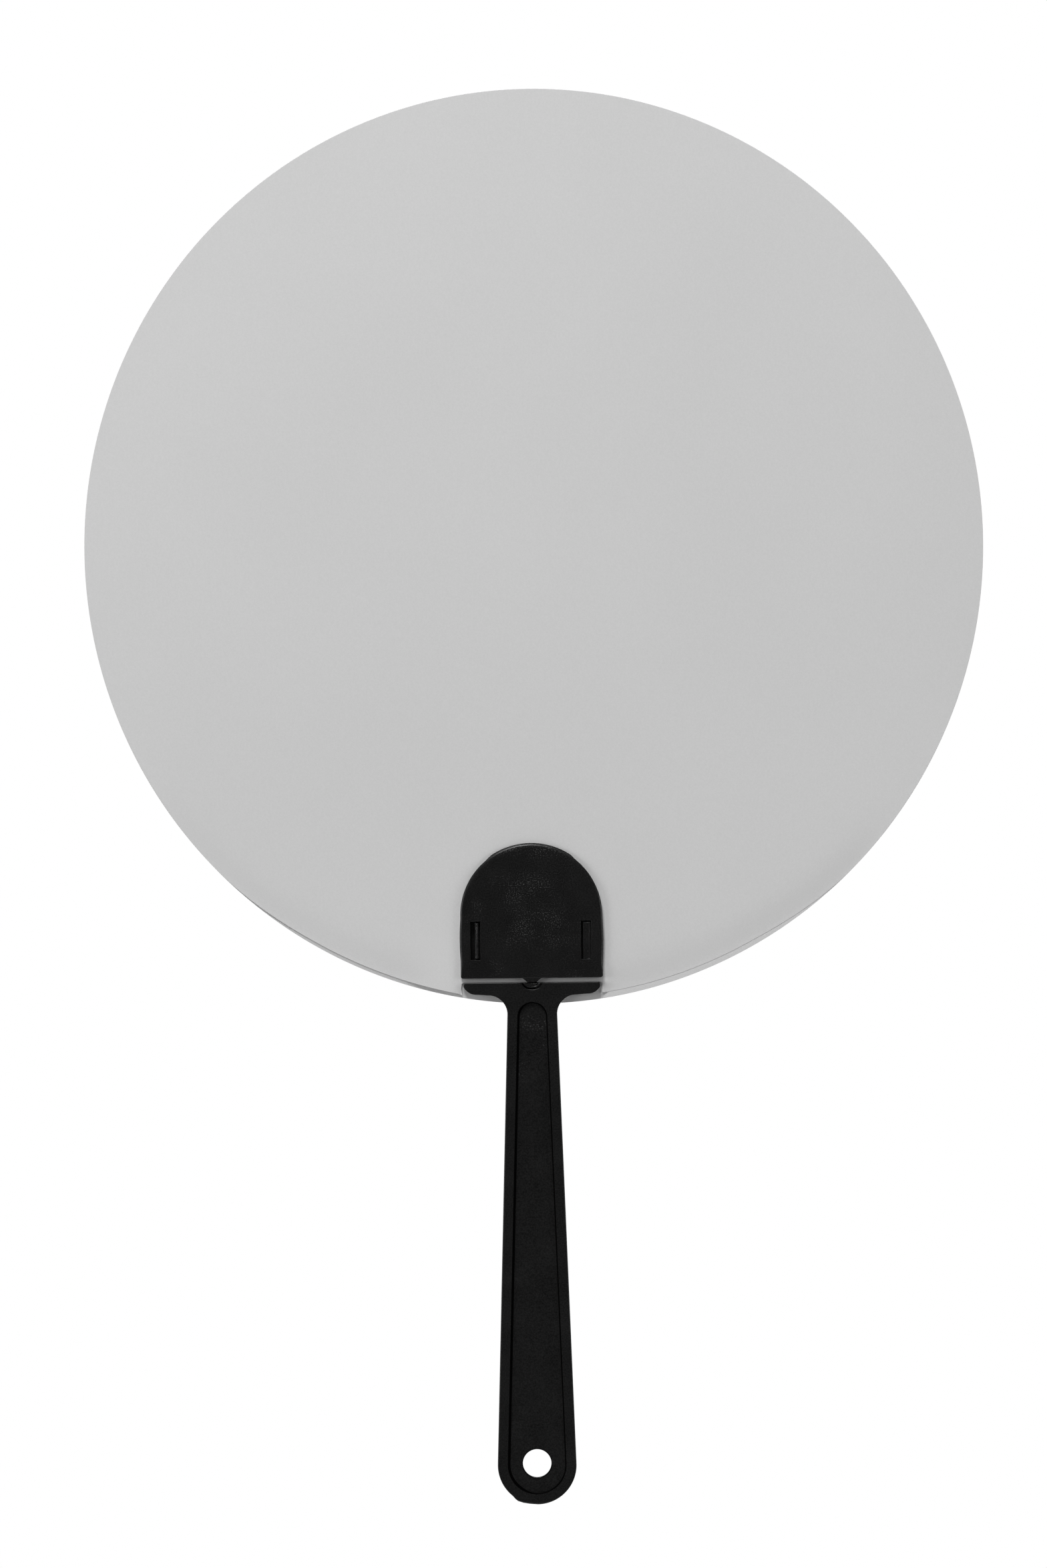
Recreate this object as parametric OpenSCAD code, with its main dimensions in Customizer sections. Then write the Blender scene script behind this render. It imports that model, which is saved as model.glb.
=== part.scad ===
// Round hand fan: two thin sheets held in a one-piece moulded clip handle.
// Millimetres. +Z up along the handle, the front faces -Y, +X to the right.
// The origin is the centre of the hanging hole, halfway through the stem.

/* [Leaf] */
// Width of the leaf across its sheets
leaf_w = 245.5; // [160:0.5:320]
// Height of the leaf, a little more than its width
leaf_h = 250; // [160:0.5:320]
// Thickness of one sheet
sheet_t = 0.5; // [0.3:0.05:0.7]
// How far the foot of the leaf hangs below the top of the crossbar
leaf_drop = 5.6; // [4.5:0.1:7]
// How much shorter the front sheet is cut at its foot
front_trim = 1.5; // [0.6:0.1:2.2]
// Distance from the middle at which the shorter cut runs out
trim_reach = 80; // [60:1:100]

/* [Stem] */
// Thickness of the stem from front to back
stem_t = 5; // [4.6:0.1:8]
// Height of the crossbar's top above the hanging hole
reach = 131.2; // [90:0.1:180]
// Radius of the round lower end
end_r = 10.75; // [8:0.05:16]
// Height of the hanging hole above the middle of the round end
hole_rise = 0.4; // [0:0.1:1.5]
// Diameter of the hanging hole
hole_d = 7.8; // [4:0.1:9]
// Width of the stem below the crossbar's fillets
neck_w = 13.6; // [11:0.1:18]
// Width of the raised border round the sunk panel
border_w = 2.75; // [1.5:0.05:3.5]
// Depth of the sunk panel on each side
panel_depth = 0.8; // [0.3:0.05:1.2]
// Distance from the crossbar's top down to the panel's upper end
panel_drop = 5.1; // [4:0.1:20]

/* [Crossbar] */
// Width of the crossbar, tip to tip
bar_w = 37.6; // [32:0.1:50]
// Height of the crossbar
bar_h = 3.2; // [2.6:0.1:3.8]
// Radius of each tip's upper corner
tip_r = 0.8; // [0.4:0.1:1.2]
// Radius of the fillet between crossbar and stem
bar_fillet = 5.2; // [3:0.1:7]
// Bevel along the crossbar's upper front edge
bar_bevel = 0.4; // [0.2:0.05:0.6]

/* [Clip plates] */
// Width of the front flap and of the plate behind the leaf
plate_w = 38.9; // [34:0.1:52]
// Height of the front flap
flap_h = 36.6; // [30:0.1:60]
// Thickness of the flap
flap_t = 1.45; // [1.2:0.05:1.6]
// Gap between the crossbar and the flap
flap_gap = 1.4; // [1.3:0.05:2.2]
// Width of the bevel round the flap's front
bevel_w = 0.7; // [0.3:0.05:1]
// Depth of that bevel
bevel_t = 0.35; // [0.1:0.05:0.6]
// Radius of the flap's lower corners
flap_corner = 0.6; // [0.3:0.1:1.5]
// How far the sides swell beside the slots
swell = 0.35; // [0.1:0.05:0.8]
// Length of the lifting lip along the flap's arch
lip_w = 23.2; // [12:0.1:28]
// How far that lip stands out from the arch
lip_out = 0.4; // [0.2:0.05:1]
// Thickness of the lip
lip_t = 0.6; // [0.3:0.05:0.8]

/* [Catches] */
// Distance from the plates' sides to the slots' centre lines
slot_inset = 4.35; // [3.9:0.05:6]
// Height of the slot's centre above the flap's lower edge
slot_rise = 10.1; // [7:0.1:16]
// Width of a slot in the flap
slot_w = 2.75; // [2.6:0.05:3.4]
// Length of a slot in the flap
slot_l = 10.6; // [6:0.1:13]
// Thickness of a catch at its foot
hook_foot = 1.8; // [1.4:0.05:1.9]
// Thickness of a catch below its barb
hook_t = 1.1; // [0.9:0.05:1.3]
// How far the barb stands out from the catch
barb = 0.4; // [0.2:0.05:0.5]
// How far the catches stand to the right of the slots' centre lines
hook_shift = 0.3; // [0:0.05:0.4]

/* [Hinge] */
// Thickness of the hinge web
web_t = 0.35; // [0.25:0.05:0.45]
// Width of the web's neck at the fold
fold_w = 2.4; // [1.6:0.1:3]
// Width of the tongue where it leaves the flap
tongue_w = 5.6; // [4:0.1:8]
// Width of the hollow in the crossbar's top
hollow_w = 6; // [5:0.1:8]
// Depth of that hollow
hollow_d = 1.7; // [1.5:0.05:1.8]
// Thickness of the tongue where it leaves the flap
tongue_t = 0.75; // [0.5:0.05:1]

/* [Fits] */
// Play between a sheet and each plate that it lies against
play = 0.05; // [0.02:0.01:0.15]
// Side clearance of the front sheet round the crossbar
notch_gap = 0.5; // [0.3:0.05:1]
// Clearance of a cut edge over the crossbar, and under the leaf in the slit
edge_gap = 0.2; // [0.1:0.05:0.5]
// Clearance round a catch, lengthways in its slot
catch_gap = 0.3; // [0.15:0.05:0.6]
// Clearance of the sheets' slots round a catch
sheet_gap = 0.6; // [0.3:0.05:1]
// How far a catch's tip lies below the flap's front
tip_gap = 0.2; // [0.1:0.05:0.3]
// Clearance between the rounded end of the web and the tongue
fold_gap = 0.06; // [0.03:0.01:0.15]

/* [Hidden] */
$fn = 96;

plastic = "#1c1c1c";
sheet_front_colour = "#c3c3c3";
sheet_back_colour = "#b4b4b4";
far = 400;

// Depths, from front to back
front_y = -stem_t / 2;
back_y = stem_t / 2;
flap_back_y = front_y + flap_t;
sheets_y = flap_back_y + play;
between_y = sheets_y + sheet_t;
sheets_back_y = between_y + sheet_t;
slit_front_y = between_y - play;
slit_back_y = sheets_back_y + play;
fold_y = flap_back_y - web_t / 2;

// Heights
end_z = -hole_rise;
bar_z = reach - bar_h;
hollow_z = reach - hollow_d;
root_z = (bar_z + hollow_z) / 2;
fillet_z = bar_z - bar_fillet;
leaf_foot_z = reach - leaf_drop;
leaf_z = leaf_foot_z + leaf_h / 2;
flap_z = reach + flap_gap;
fold_z = reach + web_t / 2;
tongue_z = fold_z + web_t / 2 + fold_gap;
arch_r = plate_w / 2;
arch_z = flap_z + flap_h - arch_r;
slot_x = arch_r - slot_inset;
slot_z = flap_z + slot_rise;
hook_l = slot_l - 2 * catch_gap;

// The sides lean by one angle from the round end up to the neck
side_run = fillet_z - end_z;
lean = asin(end_r / norm([side_run, neck_w / 2])) - atan(neck_w / 2 / side_run);
panel_end_r = end_r - border_w;
panel_top_z = reach - panel_drop;
panel_round_z = (panel_top_z - panel_end_r - end_z * sin(lean)) / (1 - sin(lean));
panel_round_r = panel_end_r - (panel_round_z - end_z) * sin(lean);

// Half the stem's width at a height, on its straight leaning side
function side_x(z) = (end_r - (z - end_z) * sin(lean)) / cos(lean);

// Radius of a shallow arc from its chord and its rise
function arc_r(chord, rise) = (chord * chord / 4 + rise * rise) / (2 * rise);

// The front sheet's foot is an arc, flatter than the leaf's own ellipse
leaf_foot_bend = (leaf_h / 2) / pow(leaf_w / 2, 2);
trim_r = 1 / (leaf_foot_bend - 2 * front_trim / pow(trim_reach, 2));

// A flat outline in x and z, made solid from y0 back to y1
module slab(y0, y1) {
    translate([0, y1, 0])
        rotate([90, 0, 0])
            linear_extrude(y1 - y0) children();
}

// A profile in x and y, made solid from z0 up to z1
module post(z0, z1) {
    translate([0, 0, z0])
        linear_extrude(z1 - z0) children();
}

module both_sides() {
    children();
    mirror([1, 0, 0]) children();
}

// Two round ends joined by sides that touch both circles
module tapered_round(r, top_r, top_z) {
    translate([0, end_z]) circle(r);
    translate([0, top_z]) circle(top_r);
    c = cos(lean);
    s = sin(lean);
    polygon([[-r * c, end_z + r * s], [r * c, end_z + r * s],
             [top_r * c, top_z + top_r * s], [-top_r * c, top_z + top_r * s]]);
}

// The stem's outline up to a given height
module stem_outline(top_z) {
    c = cos(lean);
    s = sin(lean);
    translate([0, end_z]) circle(end_r);
    polygon([[-end_r * c, end_z + end_r * s], [end_r * c, end_z + end_r * s],
             [side_x(fillet_z), fillet_z], [side_x(fillet_z), top_z],
             [-side_x(fillet_z), top_z], [-side_x(fillet_z), fillet_z]]);
}

// The stem's upper end up to a given height, with the two hollow fillets under the crossbar
module shoulders(top_z) {
    x = side_x(fillet_z);
    stem_outline(top_z);
    both_sides()
        difference() {
            translate([0, fillet_z]) square([x + bar_fillet, top_z - fillet_z]);
            translate([x + bar_fillet, fillet_z]) circle(bar_fillet);
        }
}

// The crossbar: small upper corners, and lower corners as round as its height lets them be
module bar_outline() {
    belly_r = bar_h - tip_r;
    belly_x = bar_w / 2 - belly_r;
    translate([-belly_x, bar_z]) square([2 * belly_x, bar_h]);
    both_sides() {
        intersection() {
            translate([belly_x, bar_z + belly_r]) circle(belly_r);
            translate([0, bar_z]) square([bar_w, belly_r]);
        }
        translate([bar_w / 2 - tip_r, reach - tip_r]) circle(tip_r);
        translate([0, reach - tip_r]) square([bar_w / 2 - tip_r, tip_r]);
    }
}

// A clip plate: an arch on straight sides, with rounded lower corners
module plate_outline(low_z, corner) {
    intersection() {
        translate([0, arch_z]) circle(arch_r);
        translate([-arch_r, arch_z - corner]) square([plate_w, arch_r + corner]);
    }
    polygon([[-arch_r, arch_z], [-arch_r, low_z + corner], [corner - arch_r, low_z],
             [arch_r - corner, low_z], [arch_r, low_z + corner], [arch_r, arch_z]]);
    for (side = [-1, 1])
        translate([side * (arch_r - corner), low_z + corner]) circle(corner);
}

// A round hollow in the crossbar's top, with a little more width at the top than at its floor
module hollow_outline() {
    r = arc_r(hollow_w, hollow_d);
    translate([0, hollow_z + r]) circle(r);
}

module slots(w, l, shift = 0) {
    for (side = [-1, 1])
        translate([side * slot_x + shift - w / 2, slot_z - l / 2]) square([w, l]);
}

// Stem, and the crossbar in front of the leaf
module handle() {
    color(plastic)
    difference() {
        union() {
            slab(front_y, back_y) shoulders(bar_z);
            slab(front_y, slit_front_y) shoulders(root_z);
            difference() {
                slab(front_y, slit_front_y) bar_outline();
                slab(front_y - 1, slit_back_y) hollow_outline();
            }
        }
        // Slit that takes the back sheet between crossbar and plate
        translate([-far / 2, slit_front_y, leaf_foot_z - edge_gap])
            cube([far, slit_back_y - slit_front_y, far]);
        // Bevel along the crossbar's upper front edge
        translate([-far / 2, 0, 0])
            rotate([90, 0, 90])
                linear_extrude(far)
                    polygon([[front_y - 1, reach - bar_bevel], [front_y, reach - bar_bevel],
                             [front_y + bar_bevel, reach], [front_y + bar_bevel, reach + 1],
                             [front_y - 1, reach + 1]]);
        // Sunk panels, front and back
        slab(front_y - 1, front_y + panel_depth)
            tapered_round(panel_end_r, panel_round_r, panel_round_z);
        slab(back_y - panel_depth, back_y + 1)
            tapered_round(panel_end_r, panel_round_r, panel_round_z);
        // Hanging hole
        rotate([90, 0, 0]) cylinder(d = hole_d, h = 2 * stem_t, center = true);
    }
}

// The plate behind the leaf, which stands on the back half of the stem's upper end
module clip_plate() {
    color(plastic)
    slab(slit_back_y, back_y) plate_outline(bar_z, bar_h - tip_r);
}

// The thin web in the crossbar's hollow, with its neck up to the fold
module hinge_web() {
    color(plastic)
    slab(flap_back_y - web_t, flap_back_y) {
        intersection() {
            hollow_outline();
            translate([-hollow_w / 2, bar_z]) square([hollow_w, bar_h]);
        }
        translate([-fold_w / 2, reach - hollow_d / 2])
            square([fold_w, fold_z - reach + hollow_d / 2]);
    }
    // The neck ends in a round whose centre line is the fold
    color(plastic)
    translate([0, fold_y, fold_z])
        rotate([0, 90, 0])
            cylinder(d = web_t, h = fold_w, center = true, $fn = 48);
}

// A catch: tapered foot on the rear plate, straight shank and a rounded barb
module snap_hook(side) {
    tip_y = front_y + tip_gap;
    barb_y = tip_y + barb;
    x0 = -hook_foot / 2;
    color(plastic)
    translate([side * slot_x + hook_shift, 0, 0])
    mirror([side < 0 ? 1 : 0, 0, 0])
    post(slot_z - hook_l / 2, slot_z + hook_l / 2)
        polygon([[x0, slit_back_y], [hook_foot / 2, slit_back_y],
                 [x0 + hook_t, sheets_y], [x0 + hook_t, barb_y],
                 [x0 + hook_t + barb, barb_y], [x0 + hook_t, tip_y], [x0, tip_y]]);
}

module snap_hook_left() { snap_hook(-1); }

module snap_hook_right() { snap_hook(1); }

// The leaf's ellipse, by its own formula
module leaf_outline() {
    steps = 240;
    polygon([for (i = [0 : steps - 1])
        let (a = 360 * i / steps)
        [leaf_w / 2 * cos(a), leaf_z + leaf_h / 2 * sin(a)]]);
}

// Opening in the front sheet that lets the crossbar through
module bar_notch() {
    half = bar_w / 2 + notch_gap;
    top = reach + edge_gap;
    r = bar_h / 2 - tip_r / 2;
    translate([-half, leaf_foot_z - 1]) square([2 * half, top - r - leaf_foot_z + 1]);
    translate([-half + r, leaf_foot_z]) square([2 * (half - r), top - leaf_foot_z]);
    both_sides()
        translate([half - r, top - r]) circle(r);
}

module front_sheet() {
    color(sheet_front_colour)
    slab(sheets_y, between_y)
    difference() {
        intersection() {
            leaf_outline();
            translate([0, leaf_foot_z + front_trim + trim_r]) circle(trim_r, $fn = 240);
        }
        bar_notch();
        slots(hook_foot + 2 * sheet_gap, hook_l + 2 * sheet_gap, hook_shift);
    }
}

module back_sheet() {
    color(sheet_back_colour)
    slab(between_y, sheets_back_y)
    difference() {
        leaf_outline();
        slots(hook_foot + 2 * sheet_gap, hook_l + 2 * sheet_gap, hook_shift);
    }
}

// The flap's plate with a bevel round its front face
module flap_plate() {
    base_y = front_y + bevel_t;
    slab(base_y, flap_back_y) {
        plate_outline(flap_z, flap_corner);
        // Swollen sides beside the slots
        both_sides() {
            r = arc_r(slot_l, swell);
            intersection() {
                translate([arch_r + swell - r, slot_z]) circle(r);
                translate([0, flap_z + flap_corner]) square([far, arch_z - flap_z]);
            }
        }
    }
    intersection() {
        union() {
            translate([0, base_y, arch_z])
                rotate([90, 0, 0])
                    cylinder(r1 = arch_r, r2 = arch_r - bevel_w, h = bevel_t);
            post(flap_z, arch_z)
                polygon([[-arch_r, base_y], [arch_r, base_y],
                         [arch_r - bevel_w, front_y], [bevel_w - arch_r, front_y]]);
        }
        translate([-far / 2, 0, 0])
            rotate([90, 0, 90])
                linear_extrude(far)
                    polygon([[base_y, flap_z + flap_corner / 2], [front_y, flap_z + bevel_w],
                             [front_y, arch_z + plate_w], [base_y, arch_z + plate_w]]);
    }
}

// Tongue that thins from the flap's lower edge down to the fold
module tongue() {
    rise = flap_corner;
    tongue_y = flap_back_y - tongue_t;
    intersection() {
        slab(front_y, flap_back_y)
            polygon([[-fold_w / 2, tongue_z], [fold_w / 2, tongue_z],
                     [tongue_w / 2, flap_z], [tongue_w / 2, flap_z + rise],
                     [-tongue_w / 2, flap_z + rise], [-tongue_w / 2, flap_z]]);
        translate([-tongue_w, 0, 0])
            rotate([90, 0, 90])
                linear_extrude(2 * tongue_w)
                    polygon([[flap_back_y, tongue_z], [flap_back_y - web_t, tongue_z],
                             [tongue_y, flap_z], [tongue_y, flap_z + rise],
                             [flap_back_y, flap_z + rise]]);
    }
}

// Thin lip along the arch's top, for a fingernail
module lifting_lip() {
    slab(flap_back_y - lip_t, flap_back_y)
        intersection() {
            translate([0, arch_z]) circle(arch_r + lip_out);
            translate([-lip_w / 2, arch_z]) square([lip_w, plate_w]);
        }
}

module clip_flap() {
    color(plastic)
    difference() {
        union() {
            flap_plate();
            tongue();
            lifting_lip();
        }
        slab(front_y - 1, flap_back_y + 1) slots(slot_w, slot_l);
    }
}

handle();
clip_plate();
snap_hook_left();
snap_hook_right();
front_sheet();
back_sheet();
hinge_web();
clip_flap();
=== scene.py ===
# %% [markdown]
# A round hand fan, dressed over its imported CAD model
#
# The real fan is two stiff round sheets held in a black moulded clip handle. A flap on a
# living hinge covers the clip, and two catches hold it shut. This lesson loads the packed
# model as a fixed frame, builds each visible piece as a numpy surface in that frame, and
# gives every piece a procedural finish. Lengths are written in millimetres and become
# metres when a mesh is made.

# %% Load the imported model
import math

import bpy
import numpy as np
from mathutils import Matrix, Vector
from mathutils.geometry import delaunay_2d_cdt


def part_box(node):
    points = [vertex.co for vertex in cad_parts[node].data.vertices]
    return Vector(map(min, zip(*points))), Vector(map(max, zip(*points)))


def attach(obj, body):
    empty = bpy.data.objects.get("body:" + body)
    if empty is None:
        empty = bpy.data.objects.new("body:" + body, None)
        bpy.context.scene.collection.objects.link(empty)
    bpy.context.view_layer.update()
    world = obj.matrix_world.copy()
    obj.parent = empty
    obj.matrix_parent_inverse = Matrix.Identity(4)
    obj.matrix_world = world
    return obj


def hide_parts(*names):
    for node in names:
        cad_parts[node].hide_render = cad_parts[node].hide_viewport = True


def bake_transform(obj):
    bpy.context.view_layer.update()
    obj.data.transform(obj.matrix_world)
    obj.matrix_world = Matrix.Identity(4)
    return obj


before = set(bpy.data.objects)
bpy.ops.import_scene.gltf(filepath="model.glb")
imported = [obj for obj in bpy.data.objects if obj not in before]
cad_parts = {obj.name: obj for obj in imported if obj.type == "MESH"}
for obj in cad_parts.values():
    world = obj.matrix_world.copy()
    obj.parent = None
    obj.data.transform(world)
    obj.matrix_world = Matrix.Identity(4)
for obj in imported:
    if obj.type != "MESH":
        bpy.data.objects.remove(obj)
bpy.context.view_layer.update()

MM = 0.001
print("nodes:", sorted(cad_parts))


def mm_box(name):
    """A node's lowest and highest corner in millimetres."""
    low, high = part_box(name)
    return np.array(low) / MM, np.array(high) / MM


handle_low, handle_high = mm_box("handle")
plate_low, plate_high = mm_box("clip_plate")
flap_low, flap_high = mm_box("clip_flap")
front_low, front_high = mm_box("front_sheet")
back_low, back_high = mm_box("back_sheet")
print("handle's box in mm:", handle_low.round(2), handle_high.round(2))

# %% [markdown]
# ## Camera and light
#
# The photograph is a straight product shot with a long lens. Its frame is 428.6 mm high at
# the fan, so the lens follows from the distance. A far camera is chosen over an orthographic
# one, because it keeps the little perspective of a real shot. In the photograph the handle
# stands 0.62 degrees off upright, and rolling the camera by that angle keeps the pieces
# upright in their own frame.

# %% Camera
frame_height = 428.6
distance = 2800.0
aim_x, aim_z = -1.72, 185.65
roll_deg = 0.623
camera_data = bpy.data.cameras.new("camera")
camera_data.sensor_width = 36
camera_data.lens = camera_data.sensor_width * distance / frame_height
camera_data.clip_end = 50
camera = bpy.data.objects.new("camera", camera_data)
camera.location = (aim_x * MM, -distance * MM, aim_z * MM)
camera.rotation_euler = (math.pi / 2, math.radians(roll_deg), 0)
bpy.context.scene.collection.objects.link(camera)
bpy.context.scene.camera = camera
bpy.context.scene.view_settings.view_transform = "Standard"
print("lens in mm:", round(camera_data.lens, 1))

# %% [markdown]
# In the photograph the strip below the flap has a quarter of the sheets' brightness, the
# strip below the crossbar a third, and the sheets darken only a little beside the flap. So
# most of the light comes from high above and slightly from the left, and the rest comes
# from below and from both sides. The lamps are 0.6 to 0.9 m wide, because smaller ones would
# draw hard shadows. One more lamp behind the fan lights its back alone.

# %% Lights
middle = np.array([0.0, 0.0, 0.22])


def soft_light(name, azimuth, off_axis, reach, size, power):
    """A square area light aimed at the fan. Its direction is the camera's direction tipped by
    off_axis degrees towards azimuth, counted round the fan from the right-hand side."""
    a, b = math.radians(azimuth), math.radians(off_axis)
    way = np.array([math.sin(b) * math.cos(a), -math.cos(b), math.sin(b) * math.sin(a)])
    data = bpy.data.lights.new(name, "AREA")
    data.shape = "SQUARE"
    data.size = size
    data.energy = power
    lamp = bpy.data.objects.new(name, data)
    lamp.location = middle + reach * way
    lamp.rotation_euler = Vector(-way).to_track_quat("-Z", "Y").to_euler()
    bpy.context.scene.collection.objects.link(lamp)


# Each lamp's azimuth and angle off the view axis, its distance and size, and its power
lamps = {"key_light": (101, 59, 2.2, 0.7, 53),
         "low_light": (266, 50, 1.5, 0.6, 3.2),
         "left_light": (180, 62, 2.0, 0.8, 13),
         "right_light": (0, 62, 2.0, 0.8, 8.5),
         "back_light": (90, 150, 2.4, 0.9, 26)}
for name, values in lamps.items():
    soft_light(name, *values)
print("lamps:", list(lamps))

# %% [markdown]
# The camera sees a pure white background. All other rays see a dim studio, which is nearly
# dark on the camera's side, so that the black plastic keeps its depth, and brighter behind.

# %% World
dark_side, bright_side = 0.06, 0.5
world = bpy.data.worlds.new("studio")
bpy.context.scene.world = world
world.use_nodes = True
tree = world.node_tree
tree.nodes.clear()
seen = tree.nodes.new("ShaderNodeLightPath")
way = tree.nodes.new("ShaderNodeTexCoord")
split = tree.nodes.new("ShaderNodeSeparateXYZ")
behind = tree.nodes.new("ShaderNodeMapRange")
behind.inputs["From Min"].default_value = -0.2
behind.inputs["From Max"].default_value = 1.0
behind.inputs["To Min"].default_value = dark_side
behind.inputs["To Max"].default_value = bright_side
level = tree.nodes.new("ShaderNodeMix")
level.inputs[3].default_value = 1.0
background = tree.nodes.new("ShaderNodeBackground")
background.inputs["Color"].default_value = (1, 1, 1, 1)
output = tree.nodes.new("ShaderNodeOutputWorld")
tree.links.new(way.outputs["Generated"], split.inputs[0])
tree.links.new(split.outputs["Y"], behind.inputs["Value"])
tree.links.new(seen.outputs["Is Camera Ray"], level.inputs[0])
tree.links.new(behind.outputs[0], level.inputs[2])
tree.links.new(level.outputs[0], background.inputs["Strength"])
tree.links.new(background.outputs[0], output.inputs["Surface"])
print("world:", dark_side, "on the camera's side and", bright_side, "behind")

# %% [markdown]
# ## Helpers for flat moulded pieces
#
# Every piece of this fan is a flat plate with a shaped outline. It could be an extrusion
# with a bevel, but here the rounding changes along the edge. So a plate is made of a rim, in
# which the outline is repeated at several insets and depths, and of flat faces that fill
# what the rim leaves open. The patches are welded where their points meet, which closes the
# piece.

# %% Outlines


def arc(cx, cz, r, start, end, count=24):
    """Points on a circle from one angle to another, in degrees: centre plus radius times
    cosine and sine."""
    a = np.radians(np.linspace(start, end, count))
    return np.stack([cx + r * np.cos(a), cz + r * np.sin(a)], 1)


def outline(*stretches):
    """Stretches laid end to end, without points that repeat the one before."""
    p = np.concatenate([np.reshape(s, (-1, 2)) for s in stretches]).astype(float)
    step = np.linalg.norm(p - np.roll(p, 1, 0), axis=1)
    return p[step > 1e-3]


def flipped(p):
    """The mirror image of a stretch across the middle plane, run the other way."""
    return p[::-1] * [-1, 1]


def softened(p, times=2):
    """Corners cut off a stretch: each pass puts two points on every edge, a quarter of its
    length from its ends, and keeps the stretch's own ends."""
    p = np.asarray(p, float)
    for _ in range(times):
        cut = np.stack([0.75 * p[:-1] + 0.25 * p[1:], 0.25 * p[:-1] + 0.75 * p[1:]], 1)
        p = np.concatenate([p[:1], cut.reshape(-1, 2), p[-1:]])
    return p


def smooth(a, b, t):
    """Goes from 0 at a to 1 at b with level ends: three t squared less two t cubed."""
    s = np.clip((t - a) / (b - a), 0, 1)
    return s * s * (3 - 2 * s)


def snap(p):
    """Points in single precision, so that every patch gives a shared point the same value."""
    return np.asarray(p, np.float32).astype(float)


def depths(y, p):
    """Depth of each point: a number, one number a point, or a function of x and z."""
    return y(p[:, 0], p[:, 1]) if callable(y) else y * np.ones(len(p))


# %% Rims


def rim(loop, rows, hole=False):
    """The outline repeated in rows. Each row moves every point along its mitre, which is the
    sum of the two edge normals over one plus their product, and sets its own depth."""
    ahead = np.roll(loop, -1, 0) - loop
    ahead /= np.linalg.norm(ahead, axis=1)[:, None]
    normal = ahead[:, ::-1] * [-1, 1]
    before = np.roll(normal, 1, 0)
    mitre = (normal + before) / (1 + (normal * before).sum(1))[:, None]
    points = []
    for inset, y in rows:
        p = snap(loop + mitre * np.reshape(inset * np.ones(len(loop)), (-1, 1)))
        points.append(np.column_stack([p[:, 0], depths(y, p), p[:, 1]]))
    n = len(loop)
    k = np.arange(n)
    low = (np.arange(len(rows) - 1)[:, None] * n + k).ravel()
    ahead = (np.arange(len(rows) - 1)[:, None] * n + (k + 1) % n).ravel()
    quads = np.column_stack([low, low + n, ahead + n, ahead])
    if hole:
        quads = quads[:, ::-1]
    return np.concatenate(points), quads


def row(points, index, count):
    """The outline that one row of a rim ended up with."""
    return points[index * count:(index + 1) * count][:, [0, 2]]


# %% Faces


def inside(p, loops):
    """Counts the outline edges that a line from each point to the right crosses: odd is in."""
    hits = np.zeros(len(p), int)
    for loop in loops:
        after = np.roll(loop, -1, 0)
        rise = after[:, 1] - loop[:, 1]
        spans = (loop[:, 1] > p[:, 1:]) != (after[:, 1] > p[:, 1:])
        along = (p[:, 1:] - loop[:, 1]) / np.where(rise == 0, 1, rise)
        hits += (spans & (p[:, :1] < loop[:, 0] + along * (after[:, 0] - loop[:, 0]))).sum(1)
    return hits % 2 == 1


def face(loops, y, back=False, spots=None):
    """A face between outlines: Delaunay triangles over all points, of which those are kept
    whose middle lies inside. Spots are points within it that let it bend."""
    edges = []
    start = 0
    for loop in loops:
        k = np.arange(len(loop))
        edges += np.column_stack([start + k, start + (k + 1) % len(loop)]).tolist()
        start += len(loop)
    points = np.concatenate(list(loops) + ([] if spots is None else [spots]))
    found = delaunay_2d_cdt(points.tolist(), edges, [], 0, 1e-5)
    p = snap([v[:] for v in found[0]])
    t = np.array(found[2])
    t = t[inside(p[t].mean(1), loops)]
    a, b = p[t[:, 1]] - p[t[:, 0]], p[t[:, 2]] - p[t[:, 0]]
    turn = a[:, 0] * b[:, 1] - a[:, 1] * b[:, 0]
    wrong = turn < 0 if not back else turn > 0
    t[wrong] = t[wrong][:, ::-1]
    return np.column_stack([p[:, 0], depths(y, p), p[:, 1]]), t


def lattice(loops, step, low, high):
    """Points in staggered rows between two heights, inside the outlines. Rows are 0.87 of a
    step apart, as in equal triangles, and points keep 0.45 of a step from the outlines."""
    x = np.arange(-130, 130, step)
    z = np.arange(low, high, step * 0.87)
    gx, gz = np.meshgrid(x, z)
    gx = gx + np.where(np.arange(len(z)) % 2, step / 2, 0)[:, None]
    p = np.column_stack([gx.ravel(), gz.ravel()])
    p = p[inside(p, loops)]
    edge = np.concatenate(loops)
    near = np.linalg.norm(p[:, None] - edge[None], axis=2).min(1)
    return p[near > step * 0.45]


# %% Shell


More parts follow.
